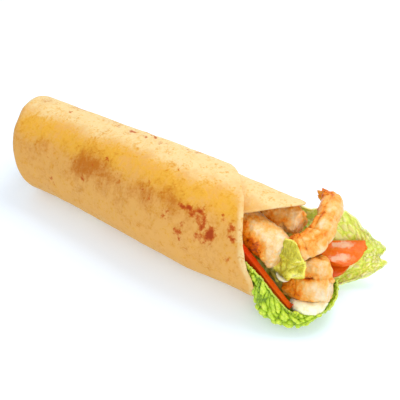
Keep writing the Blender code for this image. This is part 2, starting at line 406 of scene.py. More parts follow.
@dataclass(frozen=True)
class TortillaFinish:
    """Toasted wheat dough: pale crown, yellow shoulder, browned front and dark griddle marks."""

    crown: Row = shade(236, 207, 148)
    shoulder: Row = shade(230, 171, 52)
    front: Row = shade(225, 168, 88)
    toasted: Row = shade(188, 105, 12)
    charred: Row = shade(190, 84, 12)
    burnt: Row = shade(164, 56, 6)
    roughness: float = 0.62
    gloss: float = 0.14

    def material(self) -> bpy.types.Material:
        """Put the finish together.

        Returns:
            The material.
        """
        paint = Paint("toasted_tortilla", {
            "Roughness": self.roughness, "Specular IOR Level": self.gloss,
            **soft(weight=0.1, depth=1.2, tint=(1.0, 0.6, 0.3))})
        broad = paint.clouds(12.0)
        middle = paint.clouds(4.0, detail=5.0, rough=0.6)
        fine = paint.clouds(1.3, detail=4.0, rough=0.65)
        streak = paint.clouds(1.6, detail=2.0, rough=0.5, stretch=(1.0, 0.22, 0.22))
        # The crown mark carries the pale crown, and also painted bounce light low on the roll and a
        # painted highlight along the sheet's free edges.
        crown = paint.mark("crown") + (broad - 0.5) * 0.5 + (middle - 0.5) * 0.22
        colour = paint.mix(crown.steps(0.1, 0.95), self.front, self.crown)
        shoulder = paint.mark("shoulder") * (broad * 0.8 + 0.5) + (middle - 0.5) * 0.5
        shoulder = shoulder + (fine - 0.5) * 0.3
        colour = paint.mix(shoulder.steps(0.0, 1.1) * 0.95, colour, self.shoulder)
        freckle = (middle * 0.5 + fine * 0.5).steps(0.5, 0.95)
        colour = paint.mix(freckle * 0.5, colour, self.shoulder)
        bare = 1.0 - paint.mark("crown")
        toast = paint.mark("toast") * 0.66 + (middle - 0.5) * 0.34 + (fine - 0.5) * 0.3
        toast = toast + (broad - 0.5) * 0.3 + (streak - 0.5) * bare * 0.14 + bare * 0.1
        colour = paint.mix(toast.steps(0.0, 1.05) * 0.92, colour, self.toasted)
        char = paint.mark("char") * 0.95 + (middle - 0.5) * 0.4 + (fine - 0.5) * 0.45
        colour = paint.mix(char.steps(0.2, 0.75) * 0.88, colour, self.charred)
        colour = paint.mix(char.steps(0.6, 1.1) * 0.85, colour, self.burnt)
        pinprick = (fine * 0.8 + streak * 0.2).steps(0.82, 1.0)
        colour = paint.mix(pinprick * (paint.mark("toast") * 0.5 + 0.18), colour, self.charred)
        paint.colour(colour)
        paint.roughness(self.roughness + (fine - 0.5) * 0.15)
        paint.bump(middle * 0.5 + fine * 0.35 + streak * 0.25, depth=0.5, strength=0.5)
        return paint.material


@dataclass(frozen=True)
class LeafFinish:
    """Blistered leaf: painted highlight on its blisters, painted shade in its creases and pale along its
    rim.
    """

    name: str
    # The colour laid on the blisters is a painted highlight, and the crease colour is painted shade.
    painted_highlight: Row
    body: Row
    crease: Row
    heart: Row
    rim: Row
    # Strength of the painted shade in the creases.
    painted_crease_shade: float = 0.8
    roughness: float = 0.36
    gloss: float = 0.4

    def material(self) -> bpy.types.Material:
        """Put the finish together.

        Returns:
            The material.
        """
        paint = Paint(self.name, {
            "Roughness": self.roughness, "Specular IOR Level": self.gloss,
            **soft(weight=0.45, depth=1.8, tint=(0.8, 1.0, 0.3))})
        middle = paint.clouds(3.6)
        fine = paint.clouds(0.9)
        swell = paint.mark("swell") + (middle - 0.5) * 0.24 + (fine - 0.5) * 0.14
        # Painted highlight on the blisters and painted shade in the creases, both following the blister
        # height.
        colour = paint.mix(swell.steps(0.35, 1.05), self.body, self.painted_highlight)
        colour = paint.mix((1.0 - swell).steps(0.55, 1.05) * self.painted_crease_shade, colour, self.crease)
        heart = paint.mark("heart") + (middle - 0.5) * 0.2
        colour = paint.mix(heart.steps(0.2, 0.9), colour, self.heart)
        rib = paint.mark("rib") + (fine - 0.5) * 0.15
        colour = paint.mix(rib.steps(0.35, 0.8) * 0.9, colour, self.rim)
        colour = paint.mix(paint.mark("rim").steps(0.3, 0.9) * 0.7, colour, self.rim)
        paint.colour(colour)
        paint.roughness(self.roughness + (fine - 0.5) * 0.15)
        paint.bump(fine * 0.4 + middle * 0.4, depth=0.35, strength=0.35)
        return paint.material


@dataclass(frozen=True)
class ShrimpFinish:
    """Grilled shrimp: cream flesh, orange bands and brown seared patches with dark specks."""

    stops: tuple[tuple[float, Row], ...] = (
        (0.0, shade(242, 220, 182)), (0.16, shade(244, 202, 140)), (0.34, shade(244, 178, 82)),
        (0.54, shade(240, 138, 10)), (0.76, shade(214, 98, 2)), (1.0, shade(160, 62, 2)),
    )
    speck: Row = shade(74, 26, 6)
    roughness: float = 0.32
    gloss: float = 0.3
    wet: float = 0.08

    def material(self) -> bpy.types.Material:
        """Put the finish together.

        Returns:
            The material.
        """
        paint = Paint("grilled_shrimp", {
            "Roughness": self.roughness, "Specular IOR Level": self.gloss, "Coat Weight": self.wet,
            "Coat Roughness": 0.2, **soft(weight=0.25, depth=1.2, tint=(1.0, 0.55, 0.28))})
        broad = paint.clouds(5.5, detail=4.0, rough=0.6)
        middle = paint.clouds(2.0, detail=4.0, rough=0.65)
        fine = paint.clouds(0.6, rough=0.6)
        tone = paint.mark("tone")
        mottle = (broad - 0.5) * 0.3 + (middle - 0.5) * 0.26 + (fine - 0.5) * 0.1
        tone = tone + mottle * (tone * 0.8 + 0.5)
        colour = paint.ramp(tone, self.stops)
        speck = (fine * 0.6 + middle * 0.4).steps(0.74, 0.84) * tone.steps(0.5, 0.85)
        colour = paint.mix(speck * 0.85, colour, self.speck)
        paint.colour(colour)
        paint.roughness(self.roughness + (middle - 0.5) * 0.15)
        paint.bump(broad * 0.3 + middle * 0.4 + fine * 0.15, depth=0.7, strength=0.6)
        return paint.material


@dataclass(frozen=True)
class TomatoFinish:
    """Cut tomato: red skin, orange-red flesh, pink gel in its pockets, partly painted reflection, and
    dark red painted shade.
    """

    skin: Row = shade(242, 104, 10)
    wall: Row = shade(242, 110, 10)
    flesh: Row = shade(240, 120, 18)
    # Pale pink of the gel: partly the gel's own colour and partly painted reflection off the wet gel.
    gel: Row = shade(248, 196, 164)
    # Dark red of painted shade, where a slice lies in shadow.
    deep: Row = shade(198, 32, 4)
    roughness: float = 0.25
    gloss: float = 0.16
    wet: float = 0.05

    def material(self) -> bpy.types.Material:
        """Put the finish together.

        Returns:
            The material.
        """
        paint = Paint("cut_tomato", {
            "Roughness": self.roughness, "Specular IOR Level": self.gloss, "Coat Weight": self.wet,
            "Coat Roughness": 0.15, **soft(weight=0.3, depth=2.0, tint=(1.0, 0.35, 0.15))})
        middle = paint.clouds(2.4)
        fine = paint.clouds(0.7)
        rim = paint.mark("rim") + (fine - 0.5) * 0.05
        colour = paint.mix((middle * 0.7 + fine * 0.3).steps(0.35, 0.65), self.wall, self.flesh)
        pocket = paint.mark("pocket") + (middle - 0.5) * 0.5 + (fine - 0.5) * 0.2
        # Gel pockets take the pale pink, partly their own colour and partly painted reflection.
        colour = paint.mix(pocket.steps(0.15, 1.0), colour, self.gel)
        colour = paint.mix(rim.steps(0.45, 0.8), colour, self.skin)
        # Painted shade: dark red wherever the deep mark says a slice lies in shadow.
        colour = paint.mix(paint.mark("deep").steps(0.1, 0.95) * 0.85, colour, self.deep)
        paint.colour(colour)
        paint.roughness(self.roughness + (fine - 0.5) * 0.1)
        paint.bump(middle * 0.4 + fine * 0.3, depth=0.3, strength=0.35)
        return paint.material


@dataclass(frozen=True)
class DressingFinish:
    """Thick, glossy, cream-coloured dressing."""

    cream: Row = shade(254, 245, 210)
    warm: Row = shade(246, 228, 166)
    roughness: float = 0.24
    gloss: float = 0.5
    wet: float = 0.25

    def material(self) -> bpy.types.Material:
        """Put the finish together.

        Returns:
            The material.
        """
        paint = Paint("caesar_dressing", {
            "Roughness": self.roughness, "Specular IOR Level": self.gloss, "Coat Weight": self.wet,
            "Coat Roughness": 0.12, **soft(weight=0.5, depth=2.0, tint=(1.0, 0.85, 0.6))})
        middle = paint.clouds(2.6)
        paint.colour(paint.mix(middle.steps(0.5, 1.0) * 0.7, self.cream, self.warm))
        paint.bump(middle, depth=0.3, strength=0.12)
        return paint.material


# ---------------------------------------------------------------- forms


class Form:
    """A mesh in the making, in millimetres of the roll's frame, with marks on its vertices."""

    def __init__(self, marks: Iterable[str]) -> None:
        """Start an empty mesh whose vertices carry these marks."""
        self.mesh = bmesh.new()
        self.marks = {name: self.mesh.verts.layers.float.new(name) for name in marks}

    def _shape(
        self, verts: Sequence[bmesh.types.BMVert], place: Callable[[Vector], tuple[Vector, Marks]],
    ) -> None:
        """Put each vertex in its place and give it its marks.

        Args:
            verts: the vertices.
            place: gives the point and the marks for the place that a vertex is made at.
        """
        for vertex in verts:
            vertex.co, marks = place(vertex.co.copy())
            for name, value in marks.items():
                vertex[self.marks[name]] = value

    def _turn_out(self, verts: Sequence[bmesh.types.BMVert]) -> None:
        """Turn the faces of these vertices over."""
        faces = {face for vertex in verts for face in vertex.link_faces}
        bmesh.ops.reverse_faces(self.mesh, faces=sorted(faces, key=lambda face: face.index))

    def add_grid(self, columns: int, rows: int, place: Place, flip: bool = False) -> None:
        """Add a grid of columns by rows faces, mapped on a surface.

        Args:
            columns: faces across.
            rows: faces along.
            place: point and marks for each share across and share along.
            flip: turn the faces over, where the mapping is left-handed.
        """
        made = bmesh.ops.create_grid(self.mesh, x_segments=columns, y_segments=rows, size=1.0)
        self.mesh.faces.index_update()
        self._shape(made["verts"], lambda at: place((at.x + 1) / 2, (at.y + 1) / 2))
        if flip:
            self._turn_out(made["verts"])

    def add_ball(self, sides: int, rings: int, place: Place) -> None:
        """Add a closed ball, mapped on a body.

        Args:
            sides: faces round it.
            rings: faces from end to end.
            place: point and marks for each share along and turn round it, in radians.
        """
        made = bmesh.ops.create_uvsphere(
            self.mesh, u_segments=sides, v_segments=rings, radius=1.0)
        self.mesh.faces.index_update()
        self._shape(
            made["verts"],
            lambda at: place(math.acos(max(-1.0, min(1.0, at.z))) / math.pi, math.atan2(at.y, at.x)))
        self._turn_out(made["verts"])

    def displace(self, height: Callable[[bmesh.types.BMVert], float]) -> None:
        """Move each vertex along its normal.

        Args:
            height: gives how far a vertex goes, in millimetres.
        """
        self.mesh.normal_update()
        moves = [vertex.normal * height(vertex) for vertex in self.mesh.verts]
        for vertex, move in zip(self.mesh.verts, moves):
            vertex.co += move

    def read(self, vertex: bmesh.types.BMVert, name: str) -> float:
        """A vertex's mark."""
        return vertex[self.marks[name]]

    def write(self, vertex: bmesh.types.BMVert, name: str, value: float) -> None:
        """Set a vertex's mark."""
        vertex[self.marks[name]] = value

    def to_object(self, name: str, material: bpy.types.Material) -> bpy.types.Object:
        """Make the form an object, in metres of the wrap's frame.

        Args:
            name: the piece's name.
            material: its finish.

        Returns:
            The new object, linked to the scene.
        """
        place = Matrix.Diagonal((MM, MM, MM, 1.0)) @ Matrix.Translation(-ORIGIN)
        bmesh.ops.transform(self.mesh, matrix=place, verts=self.mesh.verts)
        data = bpy.data.meshes.new(name)
        self.mesh.to_mesh(data)
        self.mesh.free()
        data.shade_smooth()
        data.materials.append(material)
        made = bpy.data.objects.new(name, data)
        bpy.context.scene.collection.objects.link(made)
        return made


def add_thickness(piece: bpy.types.Object, thickness: float, offset: float) -> None:
    """Give an open surface its thickness.

    Args:
        piece: the surface.
        thickness: how thick it becomes, in millimetres.
        offset: -1 for a wall behind the surface, 0 for one on both sides of it.
    """
    wall = piece.modifiers.new("Thickness", "SOLIDIFY")
    wall.thickness = thickness * MM
    wall.offset = offset
    if "thin" in piece.vertex_groups:
        wall.vertex_group = "thin"
        wall.thickness_vertex_group = 0.0


def add_rounding(piece: bpy.types.Object, width: float) -> None:
    """Round a solid's sharp edges.

    Args:
        piece: the solid.
        width: how wide the rounding is, in millimetres.
    """
    edge = piece.modifiers.new("Rounding", "BEVEL")
    edge.width = width * MM
    edge.segments = 3
    edge.limit_method = "ANGLE"
    edge.angle_limit = math.radians(50)


def settle(piece: bpy.types.Object, slot: Slot, *nodes: str) -> None:
    """Make a piece ride on the wrap and stand for its CAD nodes.

    Args:
        piece: the piece.
        slot: the slot that it takes its finish from; not used.
        *nodes: the CAD nodes that it stands for, if any.
    """
    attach(piece, BODY)
    if nodes:
        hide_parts(*nodes)
    LOG.info("%s stands for %s", piece.name, ", ".join(nodes) or "itself")


# ---------------------------------------------------------------- the roll


@dataclass(frozen=True)
class RollShape:
    """The roll's section: a soft circle that widens to the open end and rests on a flat."""

    left: float = -160.5
    radius_left: float = 27.3
    radius_open: float = 30.4
    swell: tuple[float, float] = (-135.0, -25.0)
    bend: float = 6.8
    bend_span: tuple[float, float] = (-20.0, -130.0)
    sink: float = 1.7

    def radius(self, x: float) -> float:
        """Outer radius at a place along the roll."""
        return self.radius_left + (self.radius_open - self.radius_left) * ease(x, *self.swell)

    def side(self, x: float) -> float:
        """Sideways place of the axis."""
        return self.bend * ease(x, *self.bend_span)

    def height(self, x: float) -> float:
        """Height of the axis."""
        return self.radius(x) - self.sink

    def reach(self, x: float, angle: float) -> float:
        """Distance from the axis to the outer face, cut off at the table.

        Args:
            x: place along the roll.
            angle: angle round it, in degrees.

        Returns:
            The distance.
        """
        down = math.cos(math.radians(angle))
        radius = self.radius(x)
        if down < 0.5:
            return radius
        return min(radius, self.height(x) / down)

    def point(self, x: float, angle: float, reach: float) -> Vector:
        """Point at a distance from the axis.

        Args:
            x: place along the roll.
            angle: angle round it, in degrees.
            reach: the distance.

        Returns:
            The point.
        """
        turn = math.radians(angle)
        y = self.side(x) - reach * math.sin(turn)
        return Vector((x, y, self.height(x) - reach * math.cos(turn)))


# Each toasted patch or griddle mark: place along the roll, angle, radius and strength.
TOASTED = (
    (-94, 133, 11, 0.95), (-84, 131, 9, 0.8), (-98, 122, 7, 0.7), (-127, 127, 6.5, 0.6),
    (-127, 100, 4.5, 0.4), (-72, 127, 7, 0.55), (-54, 132, 8.5, 0.6), (-46, 127, 6.5, 0.55),
    (-34, 138, 8, 0.7), (-29, 131, 7, 0.7), (-50, 92, 6, 0.35), (-15, 131, 7.5, 0.65),
    (-8, 118, 8, 0.35), (-24, 112, 8, 0.25), (-110, 112, 8, 0.3), (-66, 108, 9, 0.25),
    (4, 128, 6, 0.4), (-140, 112, 7, 0.3),
)
MARKS = (
    (-81, 146, 1.7, 0.9), (-95, 114, 2.0, 0.9), (-132, 172, 0.9, 0.9), (-121, 122, 1.0, 0.6),
    (-118, 93, 1.7, 0.8), (-116, 88, 1.4, 0.8), (-69, 126, 2.2, 0.45), (-72, 134, 1.3, 0.5),
    (-51, 143, 1.4, 0.6), (-51, 130, 1.8, 0.7), (-44, 137, 1.7, 0.6), (-45, 126, 1.7, 0.6),
    (-52, 179, 0.8, 0.6), (-38, 166, 1.2, 0.5), (-73, 211, 0.9, 0.6), (-33, 118, 2.3, 0.6),
    (-34, 113, 1.6, 0.5), (-26, 111, 1.3, 0.6), (-24, 132, 2.4, 0.95), (-21, 134, 1.9, 0.9),
    (-21, 118, 2.0, 0.75), (-23, 107, 2.9, 0.8), (-21, 100, 1.8, 0.7), (-19, 133, 2.1, 0.85),
    (-16, 128, 2.4, 0.9), (-14, 136, 2.6, 0.9), (-11, 128, 2.8, 0.95), (-12, 121, 2.3, 0.9),
    (-13, 111, 1.9, 0.75), (-10, 112, 2.2, 0.8), (-5, 121, 3.5, 1.1), (-3, 116, 2.8, 1.1),
    (-6, 111, 1.5, 0.7), (-1, 137, 1.8, 0.7), (3, 132, 2.2, 0.85), (6, 124, 1.9, 0.85),
    (9, 121, 1.8, 0.9), (8, 98, 1.8, 0.5), (8, 134, 1.1, 0.6), (-60, 150, 1.0, 0.35),
    (-87, 120, 1.6, 0.5), (-104, 131, 1.5, 0.4), (-36, 97, 1.3, 0.4), (-17, 92, 1.2, 0.35),
)


@dataclass
class Tortilla:
    """One soft round sheet, wound one and a half times and tucked shut at its left end.

    The angles of tuck are those between which the sheet sinks under its outer turn. Roof_run and
    roof_turn are where the inner turn stands out over the filling. Open_edge gives, for an angle, the
    place of the free edge along the roll. Each of wanders is a length along and an angle round the
    roll, a seed and how far the browning strays.
    """

    roll: RollShape
    finish: TortillaFinish = TortillaFinish()
    sheet: float = 2.2
    gap: float = 0.5
    edge_thin: float = 0.3
    sheet_radius: float = 130.0
    sheet_middle: tuple[float, float] = (-104.6, 15.0)
    inner_end: float = -290.0
    tuck: tuple[float, float] = (-19.0, -62.0)
    roof_drop: float = 1.2
    roof_run: tuple[float, float] = (-30.0, 10.0)
    roof_turn: tuple[float, float] = (-80.0, -140.0)
    end_slant: float = 7.0
    end_slant_angle: float = 220.5
    end_dish: float = 4.0
    rim_radius: float = 5.5
    hole: float = 0.1
    folds: tuple[int, int] = (7, 13)
    fold_height: float = 0.55
    open_edge: tuple[tuple[float, float], ...] = (
        (-290, -45), (-250, -14), (-209, 6), (-188, 19), (-163, 28), (-154, 29), (-140, 24.5),
        (-100, 18), (-45, 18), (0, 17), (40, 19.5), (70, 23), (84, 22.4), (97, 19), (120, 14),
        (148, 8), (172, 0), (220, -20), (242, -33),
    )
    columns: int = 240
    hidden_share: float = 0.3
    hidden_end: float = -70.0
    cap_rows: int = 14
    rim_rows: int = 9
    body_rows: int = 152
    span: float = 532.0
    lowest: float = 0.05
    crown_from: float = 132.0
    crown_span: float = 60.0
    # Share of the crown's pale colour painted low on the roll as bounce light.
    low_painted_bounce: float = 0.42
    # Share of the crown's pale colour painted as a highlight along the sheet's free edges.
    painted_edge_highlight_strength: float = 0.65
    shoulder_at: float = 150.0
    shoulder_width: float = 22.0
    wanders: tuple[Row, ...] = ((3.2, 6.5, 1.7, 1.3), (10, 20, 4.1, 3.2))
    scatter_seed: int = 11
    marks: list[Row] = field(default_factory=lambda: list(MARKS))
    toasted: list[Row] = field(default_factory=lambda: list(TOASTED))

    def build(self) -> None:
        """Model and dress the sheet."""
        self._scatter_marks()
        form = Form(("crown", "shoulder", "toast", "char", "thin"))
        rows = self.cap_rows + self.rim_rows + self.body_rows
        form.add_grid(self.columns, rows, self._place, flip=True)
        thin = [form.read(vertex, "thin") for vertex in form.mesh.verts]
        piece = form.to_object("tortilla_sheet", self.finish.material())
        group = piece.vertex_groups.new(name="thin")
        for index, share in enumerate(thin):
            group.add([index], share, "REPLACE")
        add_thickness(piece, self.sheet, -1)
        settle(piece, Slot.TORTILLA, "tortilla")

    def _scatter_marks(self) -> None:
        """Add the marks of the sides that face away."""
        draw = random.Random(self.scatter_seed)
        for spots, count, back, size, strength in (
            (self.toasted, 26, (192, 240), (4, 9), (0.2, 0.7)),
            (self.marks, 70, (190, 240), (0.9, 2.6), (0.5, 1.0)),
        ):
            for _ in range(count):
                angle = draw.choice((draw.uniform(-100, 30), draw.uniform(*back)))
                x = draw.uniform(-150, 12)
                spots.append((x, angle, draw.uniform(*size), draw.uniform(*strength)))

    def _depth(self, x: float, angle: float) -> float:
        """How far the sheet lies inside the roll's outer face.

        Args:
            x: place along the roll.
            angle: angle round it, in degrees.

        Returns:
            The depth.
        """
        tucked = ease(angle, *self.tuck)
        roof = ease(x, *self.roof_run) * ease(angle, *self.roof_turn)
        return (self.sheet + self.gap) * tucked + self.roof_drop * roof

    def _last_angle(self, x: float) -> float:
        """Angle at which the sheet's outer edge ends, from the sheet's own circle.

        Args:
            x: place along the roll.

        Returns:
            The angle, in degrees.
        """
        middle, arc = self.sheet_middle
        arc += math.sqrt(self.sheet_radius ** 2 - (x - middle) ** 2)
        return math.degrees(arc / (self.roll.radius_open - self.roll.sink))

    def _end_plane(self, angle: float, share: float) -> float:
        """X of the slanting tucked end, at a share of the radius."""
        lean = math.cos(math.radians(angle - self.end_slant_angle))
        return self.roll.left + self.end_slant * (1 - share * lean)

    def _angle(self, across: float, nominal: float) -> float:
        """Angle of a column, with the hidden inner turn given fewer columns.

        Args:
            across: share round the roll, from the sheet's inner end to its outer one.
            nominal: place along the roll at which the outer end is read.

        Returns:
            The angle, in degrees.
        """
        if across < self.hidden_share:
            return self.inner_end + (self.hidden_end - self.inner_end) * across / self.hidden_share
        share = (across - self.hidden_share) / (1 - self.hidden_share)
        return self.hidden_end + (self._last_angle(nominal) - self.hidden_end) * share

    def _pleats(self, angle: float, share: float) -> float:
        """How far the folded dough of the tucked end stands out.

        Args:
            angle: angle round the roll, in degrees.
            share: share of the roll's radius.

        Returns:
            The height.
        """
        fold = math.radians(angle)
        broad, narrow = self.folds
        wave = math.sin(broad * fold + 1.3 * math.sin(2 * fold)) + 0.5 * math.sin(narrow * fold + 2)
        faded = smooth_step(share / 0.35) * (1 - smooth_step((share - 0.7) / 0.4))
        return self.fold_height * wave * faded

    def _place(self, across: float, along_share: float) -> tuple[Vector, Marks]:
        """Point of the sheet's outer face and its marks.

        Args:
            across: share round the roll, from the sheet's inner end to its outer one.
            along_share: share from the middle of the tucked end to the free edge.

        Returns:
            The point and the marks of its vertex.
        """
        rows = self.cap_rows + self.rim_rows + self.body_rows
        row = along_share * rows
        run = max(0.0, row - self.cap_rows - self.rim_rows) / self.body_rows
        nominal = self.roll.left + run * (self.open_edge[-1][1] - self.roll.left)
        angle = self._angle(across, nominal)
        rim_share = 1 - self.rim_radius / self.roll.radius_left
        if row <= self.cap_rows:
            share = self.hole + (rim_share - self.hole) * row / self.cap_rows
            dish = self.end_dish * (1 - (share / rim_share) ** 2)
            x = self._end_plane(angle, share) + dish
            turn = 0.0
        else:
            turn = math.radians(90) * min(1.0, (row - self.cap_rows) / self.rim_rows)
            share = rim_share + (1 - rim_share) * math.sin(turn)
            x = self._end_plane(angle, share) + self.rim_radius * (1 - math.cos(turn))
        x -= self._pleats(angle, share)
        edge = eased_value(self.open_edge, angle)
        edge += 0.5 * noise.noise(Vector((angle / 9, 3.0, 0.0)))
        length = edge - x
        if run > 0:
            x += run * length
        depth = self._depth(x, angle)
        reach = self.roll.reach(x, angle) * share - depth * math.sin(turn)
        point = self.roll.point(x + depth * math.cos(turn), angle, reach)
        to_edge = (1 - run) * max(length, 1.0)
        point = self._soften(point, angle, turn, to_edge)
        to_side = min(across, 1 - across) * math.radians(self.span) * self.roll.radius_open
        near = min(to_edge, to_side)
        marks = self._marks_at(x, angle)
        # Painted highlight along the sheet's free edges: the crown's pale colour, with less yellow
        # shoulder.
        painted_edge_highlight = 1 - smooth_step((near - 1.5) / 4.0)
        marks["crown"] = max(marks["crown"], self.painted_edge_highlight_strength * painted_edge_highlight)
        marks["shoulder"] *= 1 - 0.8 * painted_edge_highlight
        marks["thin"] = self.edge_thin + (1 - self.edge_thin) * smooth_step(near / self.sheet)
        return point, marks

    def _soften(self, point: Vector, angle: float, turn: float, to_edge: float) -> Vector:
        """Add the dough's gentle unevenness and round its free edge over.

        Args:
            point: point of the smooth sheet.
            angle: angle round the roll, in degrees.
            turn: 0 on the tucked end's face, a quarter turn along the roll, in radians.
            to_edge: distance to the free edge.

        Returns:
            The moved point.
        """
        out = Vector((0.0, -math.sin(math.radians(angle)), -math.cos(math.radians(angle))))
        wave = 0.5 * grain(point, 19) + 0.22 * grain(point, 7, 3) + 0.07 * grain(point, 2.4, 5)
        wave -= 0.45 * (1 - smooth_step(to_edge / 1.8))
        point = point + out * (wave * math.sin(turn))
        point.z = max(point.z, self.lowest)
        return point

    def _marks_at(self, x: float, angle: float) -> Marks:
        """Browning of a point of the sheet.

        Args:
            x: place along the roll.
            angle: angle round it, in degrees.

        Returns:
            The marks of its toasting, charring, pale crown with painted bounce light low on the roll,
            and yellow shoulder.
        """
        radius = self.roll.radius(x)
        wander = Vector((0.0, 0.0, 0.0))
        for length, turn, seed, way in self.wanders:
            wander += noise.noise_vector(Vector((x / length, angle / turn, seed))) * way
        far_x = x + wander.x
        far_arc = math.radians(angle) * radius + wander.y
        result = {}
        for name, spots in (("toast", self.toasted), ("char", self.marks)):
            bare = 1.0
            for place, turn, size, strength in spots:
                if abs(far_x - place) > 2 * size:
                    continue
                off = math.hypot(far_x - place, far_arc - math.radians(turn) * radius)
                if off < 2 * size:
                    bare -= strength * hill(off, size)
            result[name] = 1.0 - bare
        around = angle if angle > -100 else angle + 360
        drift = 7 * noise.noise(Vector((x / 26, 0.4, 9.0)))
        result["crown"] = smooth_step((around - self.crown_from - drift) / self.crown_span)
        # Painted bounce light: the crown's pale colour laid over the bottom of the roll, fading out
        # between 35 and 85 degrees.
        result["crown"] += self.low_painted_bounce * (1 - smooth_step((around - 35) / 50))
        result["shoulder"] = hill(around - self.shoulder_at - drift, self.shoulder_width)
        result["shoulder"] *= smooth_step((x + 160) / 18)
        return result


# ---------------------------------------------------------------- lettuce


@dataclass
class Leaf:
    """A blistered leaf: rows of points, from deep in the roll to the free rim, made round.

    Width and length are the flat leaf's. Cell is the size of a blister and stretch how much longer it
    is across. From turned, a share of the length, the blisters run towards the rim. Heart and rib
    tell, for a share across and a share along, how pale the leaf is and how much it is rib. The first
    row is a rim as well where free_start is set.
    """

    name: str
    node: str
    slot: Slot
    cage: Sequence[Sequence[Row]]
    width: float
    length: float
    cell: float = 3.4
    blister: float = 1.3
    ruffle: float = 1.2
    thickness: float = 0.9
    lowest: float = 0.8
    seed: float = 0.0
    turned: float = 0.84
    stretch: float = 1.7
    heart: Callable[[float, float], float] = lambda across, run: 0.0
    rib: Callable[[float, float], float] = lambda across, run: 0.0
    columns: int = 130
    rows: int = 200
    free_start: bool = False

    def build(self, material: bpy.types.Material) -> None:
        """Model and dress the leaf.

        Args:
            material: its finish.
        """
        form = Form(("u", "v", "swell", "rim", "heart", "rib"))
        self._column = lru_cache(maxsize=8)(self._column_points)
        form.add_grid(self.rows, self.columns, self._place)
        form.displace(lambda vertex: self._relief(form, vertex))
        for vertex in form.mesh.verts:
            vertex.co.z = max(vertex.co.z, self.lowest)
        piece = form.to_object(self.name, material)
        add_thickness(piece, self.thickness, 0)
        settle(piece, self.slot, self.node)

    def _column_points(self, across: float) -> list[Vector]:
        """The cage's rows, each read at one share across."""
        return [spline([Vector(point) for point in row], across) for row in self.cage]

    def _place(self, run: float, across: float) -> tuple[Vector, Marks]:
        """Point of the leaf and its marks."""
        return spline(self._column(across), run), {"u": across, "v": run}

    def _relief(self, form: Form, vertex: bmesh.types.BMVert) -> float:
        """Height of the blisters and the rim's ruffle; writes the marks on the way.

        Args:
            form: the leaf's mesh.
            vertex: one of its vertices.

        Returns:
            The height.
        """
        across, run = form.read(vertex, "u"), form.read(vertex, "v")
        flat = Vector((across * self.width, run * self.length, self.seed * 7))
        to_rim = min(flat.x, self.width - flat.x, self.length - flat.y)
        if self.free_start:
            to_rim = min(to_rim, flat.y)
        sideways = Vector((flat.x / (self.cell * self.stretch), flat.y / self.cell, flat.z))
        lengthways = Vector((flat.x / self.cell, flat.y / (self.cell * 1.5), flat.z + 3))
        turned = smooth_step((run - self.turned) / 0.12)
        large = smooth_step(cells(sideways) / 0.5) * (1 - turned)
        large += smooth_step(cells(lengthways) / 0.5) * turned
        small = smooth_step(cells(flat / (self.cell * 0.5) + Vector((5, 5, 5))) / 0.5)
        rib = self.rib(across, run)
        heart = self.heart(across, run)
        strength = self.blister * (1 - 0.75 * rib) * (0.35 + 0.65 * smooth_step(to_rim / 1.6))
        swell = 0.72 * large + 0.28 * small
        near_rim = 1 - smooth_step(to_rim / 9)
        wave = self.ruffle * near_rim * grain(flat, 6.5, self.seed)
        form.write(vertex, "swell", swell)
        form.write(vertex, "rim", 1 - smooth_step((to_rim - 0.15) / 0.9))
        form.write(vertex, "heart", heart)
        form.write(vertex, "rib", rib)
        return strength * (swell - 0.55) + wave + 0.8 * grain(flat, 17, self.seed + 2)


